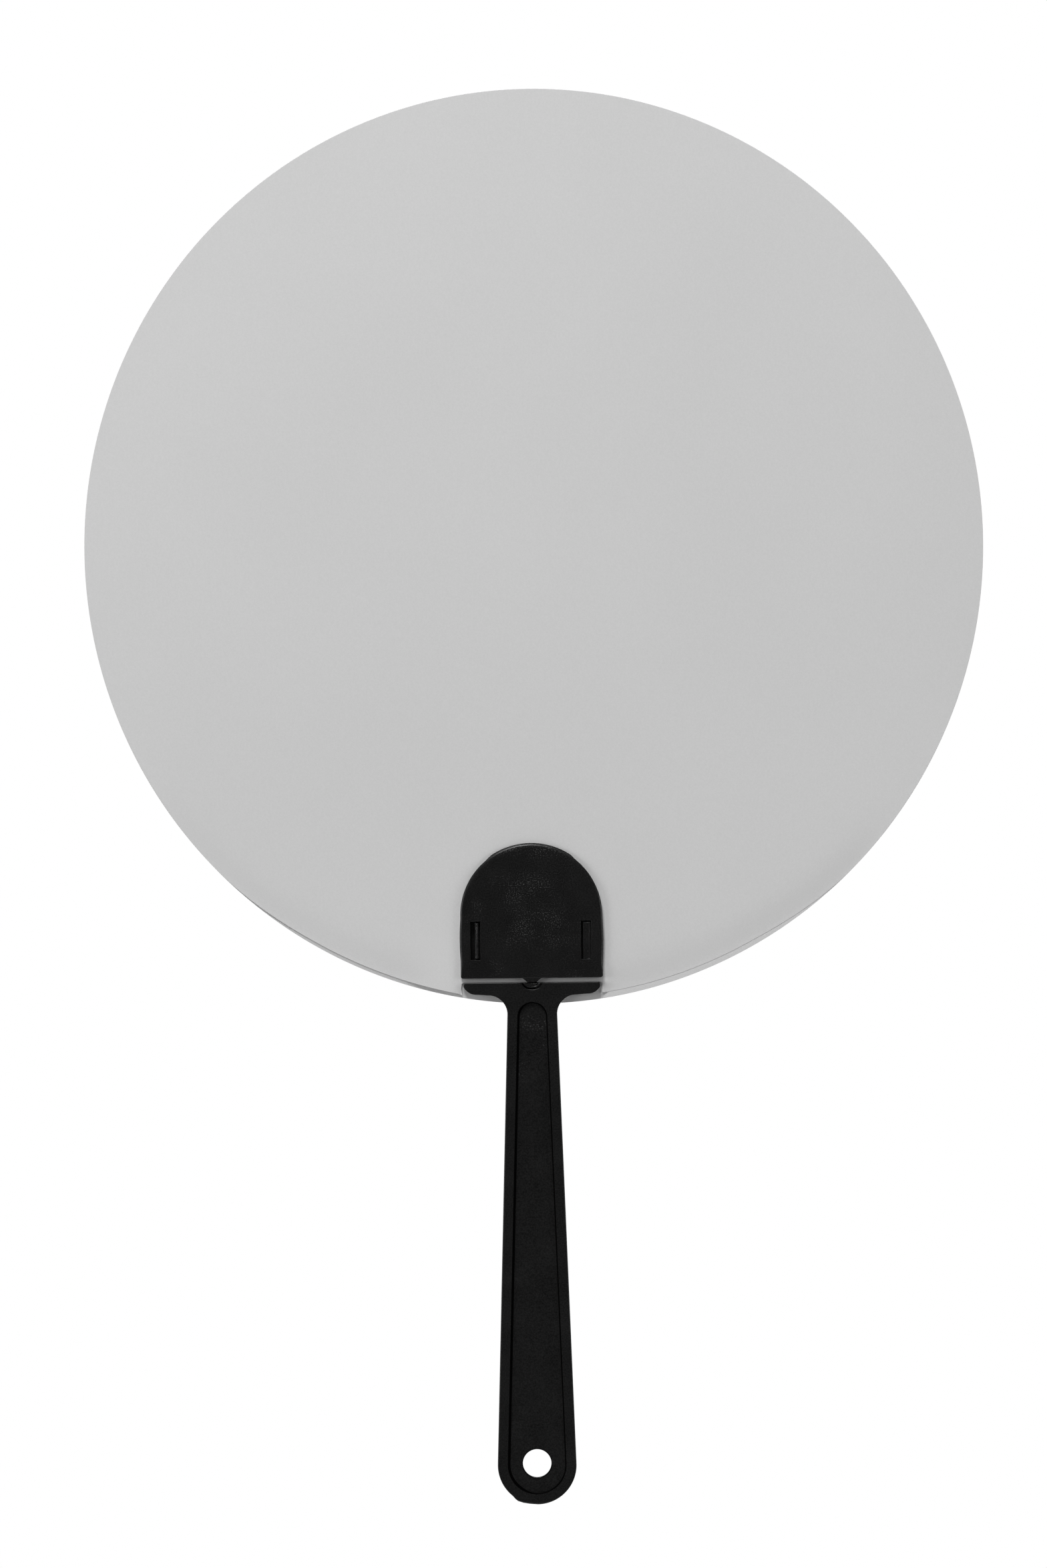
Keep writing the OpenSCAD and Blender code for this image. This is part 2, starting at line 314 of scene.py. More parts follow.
class Shell:
    """Patches of one piece, welded where their points meet."""

    def __init__(self):
        self.points, self.faces, self.kinds, self.count = [], [], [], 0

    def add(self, patch, kind=0):
        """Takes a patch of points and faces. Kind picks the material, for the patch or face
        by face, and four-sided faces become two triangles."""
        points, faces = patch
        kinds = kind * np.ones(len(faces), int)
        if faces.shape[1] == 4:
            faces = np.concatenate([faces[:, [0, 1, 2]], faces[:, [0, 2, 3]]])
            kinds = np.tile(kinds, 2)
        self.points.append(points)
        self.faces.append(faces + self.count)
        self.kinds.append(kinds)
        self.count += len(points)

    def piece(self, name, body, materials, sharp=32):
        """Welds points that agree to a ten-thousandth of a millimetre and makes the object."""
        p = np.concatenate(self.points)
        f = np.concatenate(self.faces)
        kinds = np.concatenate(self.kinds)
        _, first, where = np.unique(np.round(p, 4), axis=0, return_index=True, return_inverse=True)
        f = where.reshape(-1)[f]
        real = (f[:, 0] != f[:, 1]) & (f[:, 1] != f[:, 2]) & (f[:, 2] != f[:, 0])
        f, kinds = f[real], kinds[real]
        edges = np.sort(np.concatenate([f[:, :2], f[:, 1:], f[:, [2, 0]]]), axis=1)
        shared = np.unique(edges, axis=0, return_counts=True)[1]
        mesh = bpy.data.meshes.new(name)
        mesh.from_pydata((p[first] * MM).tolist(), [], f.tolist())
        mesh.polygons.foreach_set("material_index", kinds.astype(np.int32))
        mesh.polygons.foreach_set("use_smooth", np.ones(len(f), bool))
        mesh.set_sharp_from_angle(angle=math.radians(sharp))
        for material in materials:
            mesh.materials.append(material)
        made = bpy.data.objects.new(name, mesh)
        bpy.context.scene.collection.objects.link(made)
        if body:
            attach(made, body)
        print(f"{name}: {len(f)} triangles, {(shared != 2).sum()} edges not shared by two")
        return made


# %% [markdown]
# ## Finishes
#
# Two effects are used by more than one finish, so each is a node group. The moulded grain
# is a fine leathery unevenness with sparse grains that catch the light. The mottle is the
# slow cloudiness and the small specks of an extruded sheet. Painted images could do both,
# but noise on Object coordinates has no seams, needs no unwrapping and stays sharp.

# %% Node groups


def new_group(name, inputs, outputs):
    """A node group with float inputs, each with its value, and float outputs."""
    made = bpy.data.node_groups.new(name, "ShaderNodeTree")
    for key, value in inputs.items():
        socket = made.interface.new_socket(key, in_out="INPUT", socket_type="NodeSocketFloat")
        socket.default_value = value
    for key in outputs:
        made.interface.new_socket(key, in_out="OUTPUT", socket_type="NodeSocketFloat")
    return made, made.nodes.new("NodeGroupInput"), made.nodes.new("NodeGroupOutput")


def add(tree, kind, inputs=(), **settings):
    """One node with its settings; an input is a value or another node's output."""
    made = tree.nodes.new("ShaderNode" + kind)
    for key, value in settings.items():
        setattr(made, key, value)
    for key, value in dict(inputs).items():
        if isinstance(value, bpy.types.NodeSocket):
            tree.links.new(value, made.inputs[key])
        else:
            made.inputs[key].default_value = value
    return made


def moulded_grain():
    """Height is noise at the grain's size. Glint marks grains that shine: the few places where
    a second noise passes the fleck level, kept where a slow cloud is bright."""
    inputs = {"Grain per metre": 3000, "Flecks per metre": 3200, "Fleck level": 0.6}
    tree, given, result = new_group("moulded_grain", inputs, ["Height", "Glint", "Cloud"])
    place = add(tree, "TexCoord").outputs["Object"]
    coarse = add(tree, "TexNoise", {"Vector": place, "Scale": given.outputs[0], "Detail": 3})
    flecks = add(tree, "TexNoise", {"Vector": place, "Scale": given.outputs[1], "Detail": 1.5})
    full = add(tree, "Math", {0: given.outputs[2], 1: 0.12}, operation="ADD")
    spot = add(tree, "MapRange", {0: flecks.outputs[0], 1: given.outputs[2], 2: full.outputs[0]})
    cloud = add(tree, "TexNoise", {"Vector": place, "Scale": 150, "Detail": 4})
    patchy = add(tree, "MapRange", {0: cloud.outputs[0], 1: 0.4, 2: 0.58})
    glint = add(tree, "Math", {0: spot.outputs[0], 1: patchy.outputs[0]}, operation="MULTIPLY")
    tree.links.new(coarse.outputs[0], result.inputs["Height"])
    tree.links.new(glint.outputs[0], result.inputs["Glint"])
    tree.links.new(cloud.outputs[0], result.inputs["Cloud"])
    return tree


def sheet_mottle():
    """Tone is slow noise with a little fine noise. Speck is 1 in the middle of a few Voronoi
    cells, where dust lies on the sheet."""
    inputs = {"Fine per metre": 2600, "Speck size": 0.05}
    tree, given, result = new_group("sheet_mottle", inputs, ["Tone", "Fine", "Speck"])
    place = add(tree, "TexCoord").outputs["Object"]
    slow = add(tree, "TexNoise", {"Vector": place, "Scale": 14, "Detail": 4})
    fine = add(tree, "TexNoise", {"Vector": place, "Scale": given.outputs[0], "Detail": 3})
    cells = add(tree, "TexVoronoi", {"Vector": place, "Scale": 55})
    spot = add(tree, "MapRange", {0: cells.outputs["Distance"], 1: given.outputs[1],
                                  2: 0.0, 3: 0.0, 4: 1.0})
    some = add(tree, "SeparateColor", {0: cells.outputs["Color"]})
    few = add(tree, "Math", {0: some.outputs[0], 1: 0.93}, operation="GREATER_THAN")
    speck = add(tree, "Math", {0: spot.outputs[0], 1: few.outputs[0]}, operation="MULTIPLY")
    tree.links.new(slow.outputs[0], result.inputs["Tone"])
    tree.links.new(fine.outputs[0], result.inputs["Fine"])
    tree.links.new(speck.outputs[0], result.inputs["Speck"])
    return tree


grain_group = moulded_grain()
mottle_group = sheet_mottle()
print("node groups:", grain_group.name, mottle_group.name)

# %% Helpers for materials


def use_group(tree, group, **values):
    """Places a node group in a material with its own input values."""
    made = tree.nodes.new("ShaderNodeGroup")
    made.node_tree = group
    for key, value in values.items():
        made.inputs[key.replace("_", " ")].default_value = value
    return made


def blank_material(name):
    """A material with only its Principled shader and output."""
    made = bpy.data.materials.new(name)
    made.use_nodes = True
    return made, made.node_tree, made.node_tree.nodes["Principled BSDF"]


def patch_mask(tree, place, patches):
    """1 in the middle of each patch and 0 outside it. A patch is a centre and three half
    widths in millimetres, and its mask falls with the distance from the centre over them."""
    mask = None
    for centre, half in patches:
        centre, half = [c * MM for c in centre], [h * MM for h in half]
        away = add(tree, "VectorMath", {0: place, 1: centre}, operation="SUBTRACT")
        share = add(tree, "VectorMath", {0: away.outputs[0], 1: half}, operation="DIVIDE")
        reach = add(tree, "VectorMath", {0: share.outputs[0]}, operation="LENGTH")
        one = add(tree, "MapRange", {0: reach.outputs["Value"], 1: 1.0, 2: 0.35}).outputs[0]
        if mask is not None:
            one = add(tree, "Math", {0: mask, 1: one}, operation="MAXIMUM").outputs[0]
        mask = one
    return mask


def grey(tree, tone):
    """The colour with the same red, green and blue."""
    return add(tree, "CombineColor", {0: tone, 1: tone, 2: tone}).outputs[0]


# %% [markdown]
# The black plastic is satin, with a grain of about a third of a millimetre. That grain is too
# fine for the mesh, so it is a bump. The grains that catch the light are painted glints:
# lighter spots in the base colour. The sheets are matte, so slight changes of tone and a
# faint bump are enough for them.

# %% Black plastic


def black_plastic(name, base, glint, rough, bump, grain, level, patches=(), gloss=0.35):
    """Dark plastic: the base colour wavers with the grain and is lightened on the few grains that
    shine, which is a painted glint. The roughness drifts with a slow cloud, and the grain's
    height feeds a bump. With patches, the painted glints gather there. Gloss scales the mirror
    part of the light."""
    made, tree, shader = blank_material(name)
    effect = use_group(tree, grain_group, Grain_per_metre=grain, Fleck_level=level)
    place = add(tree, "TexCoord").outputs["Object"]
    shine = effect.outputs["Glint"]
    if patches:
        here = add(tree, "Math", {0: patch_mask(tree, place, patches), 1: 0.05}, operation="ADD")
        shine = add(tree, "Math", {0: shine, 1: here.outputs[0]}, operation="MULTIPLY").outputs[0]
    waver = add(tree, "MapRange", {0: effect.outputs["Height"], 1: 0.35, 2: 0.65,
                                   3: 0.1 * base, 4: 2.4 * base})
    tone = add(tree, "Math", {0: shine, 1: glint, 2: waver.outputs[0]}, operation="MULTIPLY_ADD")
    drift = add(tree, "MapRange", {0: effect.outputs["Cloud"], 1: 0.3, 2: 0.7,
                                   3: rough - 0.04, 4: rough + 0.04})
    relief = add(tree, "Bump", {"Strength": bump, "Distance": 0.00004,
                                "Height": effect.outputs["Height"]})
    tree.links.new(grey(tree, tone.outputs[0]), shader.inputs["Base Color"])
    tree.links.new(drift.outputs[0], shader.inputs["Roughness"])
    tree.links.new(relief.outputs[0], shader.inputs["Normal"])
    shader.inputs["Specular IOR Level"].default_value = gloss
    return made


# %% Pale sheet


def sheet_finish(name, base, spread, fine_spread, rough):
    """Pale sheet: slow and fine noise move its tone by a few parts in a hundred, dust specks
    darken single spots, and the fine noise is also a faint bump."""
    made, tree, shader = blank_material(name)
    effect = use_group(tree, mottle_group)
    slow = add(tree, "MapRange", {0: effect.outputs["Tone"], 1: 0.3, 2: 0.7,
                                  3: base - spread, 4: base + spread})
    fine = add(tree, "MapRange", {0: effect.outputs["Fine"], 1: 0.25, 2: 0.75,
                                  3: -fine_spread, 4: fine_spread})
    both = add(tree, "Math", {0: slow.outputs[0], 1: fine.outputs[0]}, operation="ADD")
    dust = add(tree, "Math", {0: effect.outputs["Speck"], 1: -0.14, 2: both.outputs[0]},
               operation="MULTIPLY_ADD")
    relief = add(tree, "Bump", {"Strength": 0.15, "Distance": 0.00003,
                                "Height": effect.outputs["Fine"]})
    shader.inputs["Roughness"].default_value = rough
    tree.links.new(grey(tree, dust.outputs[0]), shader.inputs["Base Color"])
    tree.links.new(relief.outputs[0], shader.inputs["Normal"])
    return made


# %% Materials
# Where the photograph's black faces glitter: each patch's centre and half widths
flap_patches = [((1.5, -2.5, 146.5), (16, 3, 8)), ((-2, -2.5, 157), (12, 3, 6)),
                ((0, -2.4, 167.6), (15, 3, 2.6)), ((-15.5, -2.5, 151), (4, 3, 5)),
                ((-12, -2.5, 135.3), (5, 3, 3)), ((11.5, -2.5, 136), (4, 3, 5))]
panel_patches = [((-1.5, -1.7, 120.5), (4, 3, 3)), ((3, -1.7, 119.3), (3.5, 3, 3)),
                 ((1.5, -1.7, 115), (3.5, 3, 3)), ((-3.5, -1.7, 108), (2, 3, 5))]

# Base colour, painted glint, roughness, bump, grains per metre, fleck level and patches
flap_black = black_plastic("flap_black", 0.0038, 0.07, 0.36, 0.45, 3200, 0.585, flap_patches)
catch_black = black_plastic("catch_black", 0.005, 0.02, 0.38, 0.3, 2600, 0.6)
handle_black = black_plastic("handle_black", 0.0038, 0.045, 0.36, 0.45, 2800, 0.6, panel_patches)
satin_black = black_plastic("satin_black", 0.0036, 0.03, 0.34, 0.25, 4200, 0.66)
# Painted shade: the walls of the sunk panels, the slots and the hole get a near black, matt finish
# that stands for the shade in them
wall_painted_shade = black_plastic("wall_painted_shade", 0.0005, 0.0, 0.6, 0.1, 4200, 0.7, gloss=0.02)

# Base colour, its slow and fine spread, and roughness
sheet_grey = sheet_finish("sheet_grey", 0.57, 0.008, 0.018, 0.62)
sheet_grey_back = sheet_finish("sheet_grey_back", 0.56, 0.008, 0.018, 0.62)
cut_edge = sheet_finish("cut_edge", 0.68, 0.03, 0.04, 0.7)
print("materials:", [made.name for made in bpy.data.materials])

# %% [markdown]
# ## The handle moulding
#
# Stem, crossbar and rear clip plate come out of the mould as one shot, so one piece stands
# for both CAD nodes. A slit parts the crossbar from the plate and takes the sheets. Boolean
# cuts could make it, but they leave slivers where arcs meet lines. Below the slit the front
# and the rear half share their outline, and above it they differ, so the rim is made in
# three strips instead: crossbar outline, shared stem outline, plate outline.

# %% Outline of the stem
front_y, back_y = handle_low[1], handle_high[1]
slit_front, slit_back = -0.55, plate_low[1]
end_r, end_z = 10.75, -0.385
half_neck = 6.8
bar_r = 5.2
bar_z = plate_low[2]
bar_top = handle_high[2] + 0.15
fillet_z = bar_z - bar_r
run = fillet_z - end_z
lean = math.asin(end_r / math.hypot(run, half_neck)) - math.atan(half_neck / run)
lean_deg = math.degrees(lean)
side = (end_r - run * math.sin(lean)) / math.cos(lean)
tangent = end_r * np.array([math.cos(lean), math.sin(lean)]) + [0, end_z]
steps = np.linspace(0, 1, 14)[1:, None]
stem_side = tangent + steps * (np.array([side, fillet_z]) - tangent)

# The fillet under the bar is split where the crossbar and the plate part
split_deg = 150
low_fillet = arc(side + bar_r, fillet_z, bar_r, 180, split_deg, 8)
high_fillet = arc(side + bar_r, fillet_z, bar_r, split_deg, 90, 16)
right_stem = outline(arc(0, end_z, end_r, -90, lean_deg, 44), stem_side, low_fillet)

# The left half of the round end has the flat facets of the gate's vestige
gate = np.array([[0.3, -11.1], [2.1, -10.95], [3.85, -10.66],
                 [5.3, -10.18], [6.0, -9.62], [6.6, -8.93]])
after_gate = arc(0, end_z, end_r, -50, lean_deg, 24)
left_stem = flipped(outline(gate, after_gate, stem_side, low_fillet))
stem_path = outline(left_stem, right_stem)
print("stem half width at the fillet:", round(side, 2), "lean in degrees:", round(lean_deg, 3))

# %% Outline of the crossbar
half_bar = handle_high[0] - 0.16
tip_r = 0.75
hollow_half, hollow_deep = 2.95, 1.85

# The belly's points are measured from the bar's end and from its underside
belly = softened(np.array([[-6.4, 0], [-5.6, 0.07], [-4.4, 0.17], [-2.8, 0.22], [-1.75, 0.5],
                           [-0.85, 1.15], [-0.15, 1.9], [0, 2.35], [0, 2.5]]) + [half_bar, bar_z])
bar_tip = arc(half_bar - tip_r, bar_top - tip_r, tip_r, 0, 90, 9)
along = np.linspace(half_bar - tip_r, hollow_half, 12)[1:, None]
top_line = np.column_stack([along, np.full_like(along, bar_top)])


def bowl_of(u, half, deep):
    """A bowl below the crossbar's top for u from -1 to 1. Its depth goes as one less the size
    of u to the power 2.6, all to the power 0.75."""
    return np.column_stack([half * u, bar_top - deep * (1 - np.abs(u) ** 2.6) ** 0.75])


hollow = bowl_of(np.linspace(1, -1, 33)[1:-1], hollow_half, hollow_deep)
right_bar = outline(high_fillet, belly, bar_tip, top_line)
bar_path = outline(right_bar, hollow, flipped(right_bar))
front_loop = outline(stem_path, bar_path)

# %% Outline of the clip plate
half_plate = plate_high[0]
arch_z = plate_high[2] - half_plate
plate_r = 2.4
right_plate = outline(high_fillet, arc(half_plate - plate_r, bar_z + plate_r, plate_r, -90, 0, 14))
plate_path = outline(right_plate, arc(0, arch_z, half_plate, 0, 180, 90), flipped(right_plate))
back_loop = outline(stem_path, plate_path)
print("outline points:", len(front_loop), len(back_loop))

# %% Outline of the sunk panels
border, bridge, sunk, hole_r = 2.75, 5.25, 0.8, 3.9
panel_r = end_r - border
panel_top = bar_top - bridge
round_z = (panel_top - panel_r - end_z * math.sin(lean)) / (1 - math.sin(lean))
round_r = panel_r - (round_z - end_z) * math.sin(lean)
panel = outline(arc(0, end_z, panel_r, -180 - lean_deg, lean_deg, 60),
                arc(0, round_z, round_r, lean_deg, 180 - lean_deg, 36))
bore = arc(0, 0, hole_r, 0, 360, 73)[:-1]
print("panel from", round(end_z - panel_r, 2), "to", round(panel_top, 2), "mm")

# %% [markdown]
# The front edge is rounded, more along the stem than along the crossbar. The sunk panels have
# sharp lips and walls that are painted near black as shade, steeper at the right, where the
# photograph shows a thinner dark line than at the left.

# %% Front and back rims
# Kind 0 is a grained face, 1 is a satin edge and 2 is a wall painted near black as shade
moulding = Shell()
on_bar = smooth(120, 127, front_loop[:, 1])
wide, deep = 0.34 - 0.2 * on_bar, 0.3 - 0.16 * on_bar
turns = np.radians([0, 18, 36, 54, 72, 90])

# One row more on each flat face, just inside the rounded edge, keeps that face's shading flat
front_rows = [(wide + 0.08, front_y)]
front_rows += [(wide * (1 - math.sin(a)), front_y + deep * (1 - math.cos(a))) for a in turns]
front_rows += [(0.0, front_y + deep + 0.08), (0.0, slit_front)]
strip = rim(front_loop, front_rows)
moulding.add(strip, 1)
front_edge = row(strip[0], 0, len(front_loop))

back_r = 0.4
back_rows = [(0.0, slit_back), (0.0, back_y - back_r - 0.05)]
back_rows += [(back_r * (1 - math.cos(a)), back_y - back_r * (1 - math.sin(a))) for a in turns]
back_rows += [(back_r + 0.1, back_y)]
strip = rim(back_loop, back_rows)
moulding.add(strip, 1)
back_edge = row(strip[0], len(back_rows) - 1, len(back_loop))
print("rim rows:", len(front_rows), "in front and", len(back_rows), "behind")

# %% Slit
# The stem's outline goes through between the slit's two sides, and a floor closes its end
n = len(stem_path)
stem_x, stem_z = snap(stem_path).T
middle_rows = np.concatenate([np.column_stack([stem_x, np.full(n, y), stem_z])
                              for y in (slit_front, slit_back)])
k = np.arange(n - 1)
moulding.add((middle_rows, np.column_stack([k, k + n, k + n + 1, k + 1])), 1)
foot = snap(stem_path[[0, -1]])
floor = np.array([[foot[0, 0], slit_front, foot[0, 1]], [foot[1, 0], slit_front, foot[1, 1]],
                  [foot[1, 0], slit_back, foot[1, 1]], [foot[0, 0], slit_back, foot[0, 1]]])
moulding.add((floor, np.array([[0, 1, 2, 3]])), 1)
ends = stem_path[[-1, 0]]
moulding.add(face([snap(outline(ends[:1], bar_path, ends[1:]))], slit_front, back=True), 1)
moulding.add(face([snap(outline(ends[:1], plate_path, ends[1:]))], slit_back), 1)
print("slit in mm:", round(slit_back - slit_front, 2))

# %% Panels and hanging hole
floor_front, floor_back = front_y + sunk, back_y - sunk
slope = 0.7 - 0.38 * smooth(-5.5, -0.5, panel[:, 0])
wall = [(-0.12, 0.0), (-0.05, 0.0), (-0.015, 0.01), (0.0, 0.035),
        (slope, sunk), (slope + 0.1, sunk)]
count = len(panel)
# The steep lip facet and the wall are kind 2, painted shade
wall_kinds = np.repeat([1, 1, 2, 2, 1], count)
strip = rim(panel, [(inset, front_y + y) for inset, y in wall], hole=True)
moulding.add(strip, wall_kinds)
moulding.add(face([front_edge, row(strip[0], 0, count)], front_y), 0)
floor_edge = row(strip[0], len(wall) - 1, count)
strip = rim(panel, [(inset, back_y - y) for inset, y in wall[::-1]], hole=True)
moulding.add(strip, wall_kinds[::-1])
moulding.add(face([back_edge, row(strip[0], len(wall) - 1, count)], back_y, back=True), 0)
back_floor_edge = row(strip[0], 0, count)

# The hole's two edges are rounded by 0.16 mm
bore_rows = [(-0.24, floor_front), (-0.16, floor_front), (-0.05, floor_front + 0.05),
             (0, floor_front + 0.16), (0, floor_back - 0.16), (-0.05, floor_back - 0.05),
             (-0.16, floor_back), (-0.24, floor_back)]
strip = rim(bore, bore_rows, hole=True)
# The hole's inside is kind 2, painted shade
moulding.add(strip, 2)
front_bore = row(strip[0], 0, len(bore))
back_bore = row(strip[0], len(bore_rows) - 1, len(bore))
moulding.add(face([floor_edge, front_bore], floor_front), 0)
moulding.add(face([back_floor_edge, back_bore], floor_back, back=True), 0)
handle_moulding = moulding.piece("handle_moulding", "fan",
                                 [handle_black, satin_black, wall_painted_shade])
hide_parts("handle", "clip_plate")

# %% [markdown]
# ## The flap
#
# The flap is a plate whose front falls away towards the edge in a soft shoulder, widest at
# the top of the arch. A thin lip for a fingernail stands out behind the arch. A Bevel
# modifier has one width, so both come from rows of the same outline instead, with an inset
# that changes along it. Beside the slots the flap's long edges swell slightly, as the
# photograph shows.

# %% Outline of the flap
flap_front, flap_back = flap_low[1], flap_high[1]
gap, flap_tall, foot_r, swelling = 1.275, 36.6, 0.65, 0.23
slot_rise, slot_inset = 10.33, 4.35
flap_z = bar_top + gap
half_flap = half_plate - 0.07
flap_arch_z = flap_z + flap_tall - half_flap
slot_z = flap_z + slot_rise
slot_x = half_plate - slot_inset

# In the photograph both slots sit slightly to the left of their mirrored places
slots = (-slot_x - 0.23, slot_x - 0.2)

# The swelling is a bow of 5.7 mm up and down from 0.3 mm above the slots' middle
up = np.linspace(flap_z + 0.7, flap_arch_z - 0.4, 44)
swell = swelling * np.clip(1 - ((up - slot_z - 0.3) / 5.7) ** 2, 0, 1)
right_side = np.column_stack([half_flap + swell, up])
right_corner = arc(half_flap - foot_r, flap_z + foot_r, foot_r, -90, -4, 10)
right_flap = outline([[0, flap_z]], right_corner, right_side)
flap_loop = outline(right_flap, arc(0, flap_arch_z, half_flap, 0, 180, 110), flipped(right_flap))
print("flap from", round(flap_z, 2), "to", round(flap_arch_z + half_flap, 2), "mm")

# %% Rows of the flap's rim
# The foot is nearly sharp, the sides are rounder, and the arch has the widest shoulder
fx, fz = flap_loop[:, 0], flap_loop[:, 1]
off_foot, on_arch = smooth(133, 137, fz), smooth(152, 167, fz)
edge = 0.07 + 0.17 * off_foot
shoulder = 0.08 + 0.59 * off_foot + 0.6 * on_arch
fall = 0.02 + 0.13 * off_foot
lip = 0.3 * smooth(12.6, 10.2, np.abs(fx)) * (fz > flap_arch_z)
flap_rows = [(edge + shoulder + 0.07, flap_front)]
flap_rows += [(edge + shoulder * (1 - t), flap_front + fall * t * t) for t in np.linspace(0, 1, 6)]
flap_rows += [(0.35 * edge, flap_front + fall + 0.6 * edge), (0.0, flap_front + fall + 1.1 * edge),
              (0.0, flap_back - 0.72), (-lip, flap_back - 0.62), (-lip, flap_back - 0.1),
              (0.07 - lip, flap_back - 0.02), (0.13 - lip, flap_back), (0.2 - lip, flap_back)]
print("flap's rim:", len(flap_rows), "rows of", len(flap_loop), "points")

# %% Flap


def slot_loop(cx, half_w=1.375, half_l=5.3, r=0.2, cz=slot_z):
    """A rectangle with four small quarter circles for corners, by default a slot of the flap."""
    x, z = half_w - r, half_l - r
    return outline(arc(cx + x, cz - z, r, -90, 0, 6), arc(cx + x, cz + z, r, 0, 90, 6),
                   arc(cx - x, cz + z, r, 90, 180, 6), arc(cx - x, cz - z, r, 180, 270, 6))


flap = Shell()
strip = rim(flap_loop, flap_rows)
flap.add(strip, 0)
front_edges = [row(strip[0], 0, len(flap_loop))]
back_edges = [row(strip[0], len(flap_rows) - 1, len(flap_loop))]
hole_rows = [(-0.15, flap_front), (-0.09, flap_front), (-0.025, flap_front + 0.03),
             (0, flap_front + 0.1), (0, flap_back - 0.1), (-0.08, flap_back), (-0.15, flap_back)]
for cx in slots:
    loop = slot_loop(cx)
    hole = rim(loop, hole_rows, hole=True)
    # The slots' walls are kind 2, painted shade
    flap.add(hole, np.repeat([1, 1, 1, 2, 2, 2], len(loop)))
    front_edges.append(row(hole[0], 0, len(loop)))
    back_edges.append(row(hole[0], len(hole_rows) - 1, len(loop)))
flap.add(face(front_edges, flap_front), 0)
flap.add(face(back_edges, flap_back, back=True), 1)
flap_piece = flap.piece("front_flap", "flap",
                        [flap_black, satin_black, wall_painted_shade], sharp=38)
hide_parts("clip_flap")

# %% [markdown]
# ## The living hinge
#
# A thin web fills the hollow in the crossbar, narrows to a neck at the fold and widens
# again towards the flap. It bends in use, but here it is one still piece, attached to neither
# the handle nor the flap: it lies in the hollow below the fold and nearly flush with the flap
# above it. Two curved creases cross it where it has been folded. A bump could only draw them,
# so the web's front is a function that gives its depth at each place, and its points lie
# closer at the fold.

# %% Living hinge
hinge_back = flap_back
thin_web = 0.35
fold_z = bar_top + 0.08
bowl = bowl_of(np.linspace(-1, 1, 31), hollow_half + 0.15, hollow_deep + 0.15)
bowl[[0, -1], 1] = bar_top - 0.12
right_hinge = np.array([[2.2, bar_top - 0.1], [1.55, bar_top - 0.06], [1.27, bar_top + 0.06],
                        [1.32, bar_top + 0.2], [1.85, bar_top + 0.7], [2.6, flap_z - 0.03],
                        [2.75, flap_z + 0.12], [2.8, flap_z + 0.35]])
hinge_loop = outline(bowl, right_hinge, flipped(right_hinge))


def hinge_front(x, z):
    """Depth of the web's front. Above the fold it is nearly flush with the flap. At the fold a
    groove leaves the thin web. In the hollow it is a cushion, thin at its rim, with two curved
    creases at the right, which are bell curves across two circles."""
    flush = flap_back - flap_front - 0.05
    power = 2.3
    bowl_r = (np.abs((x - 0.1) / hollow_half) ** power
              + np.abs((z - bar_top) / 1.8) ** power) ** (1 / power)
    cushion = thin_web + 0.75 * smooth(0.97, 0.72 + 0.14 * smooth(-1, 2, x), bowl_r)
    for cx, up, r in ((0.75, 0.1, 0.9), (0.8, 0.35, 1.75)):
        off = np.hypot(x - cx, z - (bar_top + up)) - r
        cushion = cushion - 0.3 * np.exp(-(off / 0.1) ** 2) * smooth(-0.4, 0.4, x)
    thick = cushion + (flush - cushion) * smooth(fold_z - 0.02, fold_z + 0.02, z)
    groove = np.exp(-((z - fold_z) / (0.06 + 0.05 * smooth(-0.8, 0.6, x))) ** 2)
    return hinge_back - np.maximum(thick - groove * (thick - thin_web), 0.3)


def grid(x, z):
    """Every x with every z, as points."""
    across, along = np.meshgrid(x, z)
    return np.column_stack([across.ravel(), along.ravel()])


hinge = Shell()
spots = lattice([hinge_loop], 0.12, bar_top - 2.2, flap_z + 0.4)
spots = spots[np.abs(spots[:, 1] - fold_z) > 0.2]
fold_rows = fold_z + np.array([-0.16, -0.1, -0.05, 0, 0.05, 0.1, 0.16])
spots = np.concatenate([spots, grid(np.linspace(-1.15, 1.15, 24), fold_rows)])
hinge.add(face([snap(hinge_loop)], hinge_front, spots=spots), 0)
hinge.add(face([snap(hinge_loop)], hinge_back, back=True, spots=spots), 0)
hinge.add(rim(hinge_loop, [(0, hinge_front), (0, hinge_back)]), 1)
hinge_piece = hinge.piece("living_hinge", None, [flap_black, satin_black],
                          sharp=50)
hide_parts("hinge_web")
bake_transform(hinge_piece)

# %% [markdown]
# ## The sheets
#
# Both sheets are die-cut from a stiff grey material, and sit 1.8 mm to the right of the
# handle's middle plane. The front one is shorter at its foot, by 1 mm at the left and
# 1.6 mm at the right, and has an opening for the crossbar. Beside the opening's left edge
# the two gape, further left the back sheet's foot curls away, and at the right both lie
# close. A disc with Solidify would stay plain, so three functions of place give the gape,
# the curl and the press, and the sheets' faces and rims follow them.

# %% Sheet outlines
leaf_a, leaf_b = back_high[0], (back_high[2] - back_low[2]) / 2
leaf_z = (back_high[2] + back_low[2]) / 2
leaf_x = 1.78


def leaf_foot(x):
    """Height of the leaf's lower outline: the ellipse's lower half."""
    return leaf_z - leaf_b * np.sqrt(np.maximum(1 - ((x - leaf_x) / leaf_a) ** 2, 0))


def foot_at(x):
    """Height of the front sheet's foot: above the leaf's outline by 1.6 mm at the right and by
    0.9 to 1.1 mm at the left, and level with it more than 90 mm from the middle."""
    gap = np.where(x > 0, 1.6, 1.1 - ((x + 50) / 68) ** 2)
    return leaf_foot(x) + gap * smooth(90, 58, np.abs(x))


